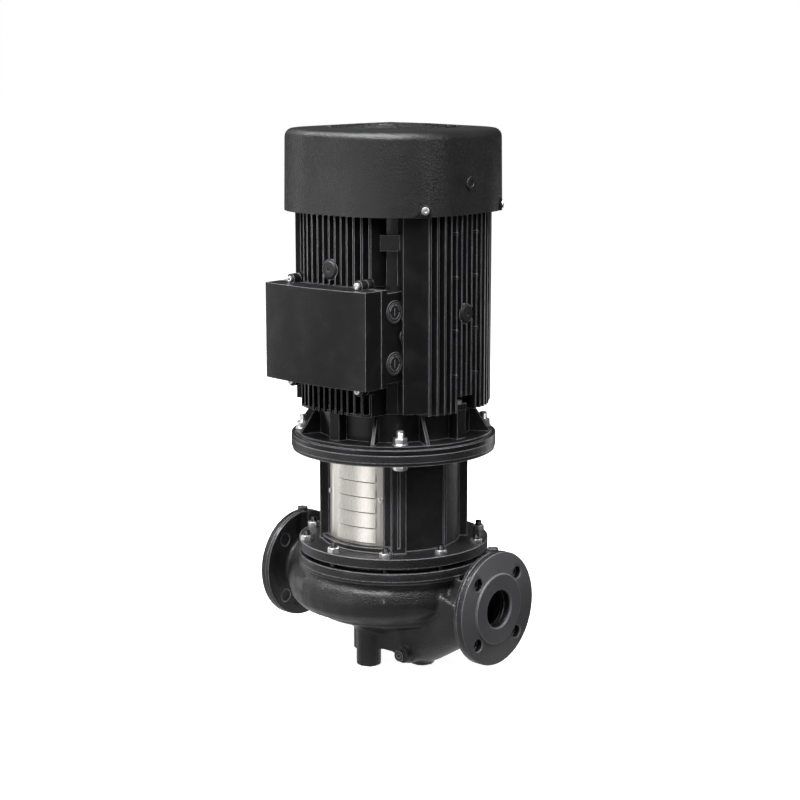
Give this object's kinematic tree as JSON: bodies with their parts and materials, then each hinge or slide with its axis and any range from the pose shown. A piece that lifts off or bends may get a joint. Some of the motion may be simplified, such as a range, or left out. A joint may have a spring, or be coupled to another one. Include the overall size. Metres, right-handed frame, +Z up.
{
  "type": "circulation pump",
  "caption": "Vertical in-line circulation pump: flanged volute housing on feet, louvred motor stool, finned flange motor with terminal box and fan cover",
  "frame": {"origin": "on the shaft axis, at the plane of the four feet", "axes": "+Z up along the shaft, +X towards the suction port, -Y towards the terminal box"},
  "size_m": [0.4, 0.325, 0.791],
  "materials": {
    "pump_casting": "black semi-gloss paint on sand-cast iron",
    "motor_paint": "glossy black paint on cast aluminium and iron",
    "cover_plastic": "dark grey moulded composite with a fine grain",
    "stainless_sheet": "brushed stainless sheet",
    "zinc_steel": "bright zinc-plated steel",
    "dark_steel": "dark oiled steel",
    "shaft_steel": "turned steel",
    "bearing_steel": "ground bearing steel",
    "core_steel": "stacked electrical sheet",
    "rotor_aluminium": "cast aluminium",
    "copper_winding": "varnished copper winding",
    "stud_brass": "plain brass",
    "bronze": "turned bronze",
    "impeller_iron": "cast iron, unpainted",
    "coupling_iron": "painted cast iron",
    "seal_rubber": "black rubber",
    "seal_carbon": "carbon and hard ceramic, as matte solid",
    "plug_plastic": "black moulded plastic",
    "block_plastic": "brown moulded thermoset"
  },
  "bodies": {
    "casing": {"pump_housing": "pump_casting", "wear_ring": "bronze", "casing_seal": "seal_rubber", "casing_cover": "pump_casting", "seal_seat": "seal_carbon", "drain_plug": "pump_casting", "gauge_plugs": "pump_casting", "vent_screw": "zinc_steel", "motor_stool": "pump_casting", "casing_studs": "dark_steel", "casing_nuts": "zinc_steel", "front_guard": "stainless_sheet", "rear_guard": "stainless_sheet", "guard_screws": "zinc_steel", "motor_bolts": "zinc_steel", "motor_nuts": "zinc_steel", "drive_end_shield": "motor_paint", "shield_screws": "zinc_steel", "motor_frame": "motor_paint", "frame_plugs": "plug_plastic", "stator_core": "core_steel", "stator_windings": "copper_winding", "drive_bearing_outer": "bearing_steel", "fan_bearing_outer": "bearing_steel", "drive_bearing_cover": "motor_paint", "preload_washer": "bearing_steel", "fan_end_shield": "motor_paint", "fan_cover": "cover_plastic", "fan_cover_screws": "zinc_steel", "fan_cover_cap": "plug_plastic", "terminal_box": "motor_paint", "lid_gasket": "seal_rubber", "terminal_lid": "motor_paint", "lid_screws": "zinc_steel", "terminal_block": "block_plastic", "terminal_studs": "stud_brass", "gland_plugs": "plug_plastic", "small_gland_plug": "plug_plastic", "earth_screw": "stud_brass"},
    "rotor": {"motor_shaft": "shaft_steel", "rotor_core": "core_steel", "rotor_end_rings": "rotor_aluminium", "drive_bearing_inner": "bearing_steel", "fan_bearing_inner": "bearing_steel", "cooling_fan": "plug_plastic", "fan_clip": "shaft_steel", "coupling_front": "coupling_iron", "coupling_rear": "coupling_iron", "coupling_screws": "dark_steel", "coupling_pin": "shaft_steel", "pump_shaft": "shaft_steel", "impeller": "impeller_iron", "impeller_nut": "shaft_steel", "seal_ring": "seal_carbon", "seal_spring": "shaft_steel"},
    "drive_cage": {"drive_bearing_cage": "bearing_steel"},
    "fan_cage": {"fan_bearing_cage": "bearing_steel"}
  },
  "joints": [
    {"name": "rotor_spin", "type": "hinge", "parent": "casing", "child": "rotor", "pos_m": [0, 0, 0], "axis": [0, 0, 1], "continuous": true},
    {"name": "drive_cage_spin", "type": "hinge", "parent": "casing", "child": "drive_cage", "pos_m": [0, 0, 0], "axis": [0, 0, 1], "continuous": true},
    {"name": "fan_cage_spin", "type": "hinge", "parent": "casing", "child": "fan_cage", "pos_m": [0, 0, 0], "axis": [0, 0, 1], "continuous": true}
  ],
  "couplings": [
    {"joint": "drive_cage_spin", "follows": "rotor_spin", "ratio": 0.4},
    {"joint": "fan_cage_spin", "follows": "rotor_spin", "ratio": 0.4}
  ]
}
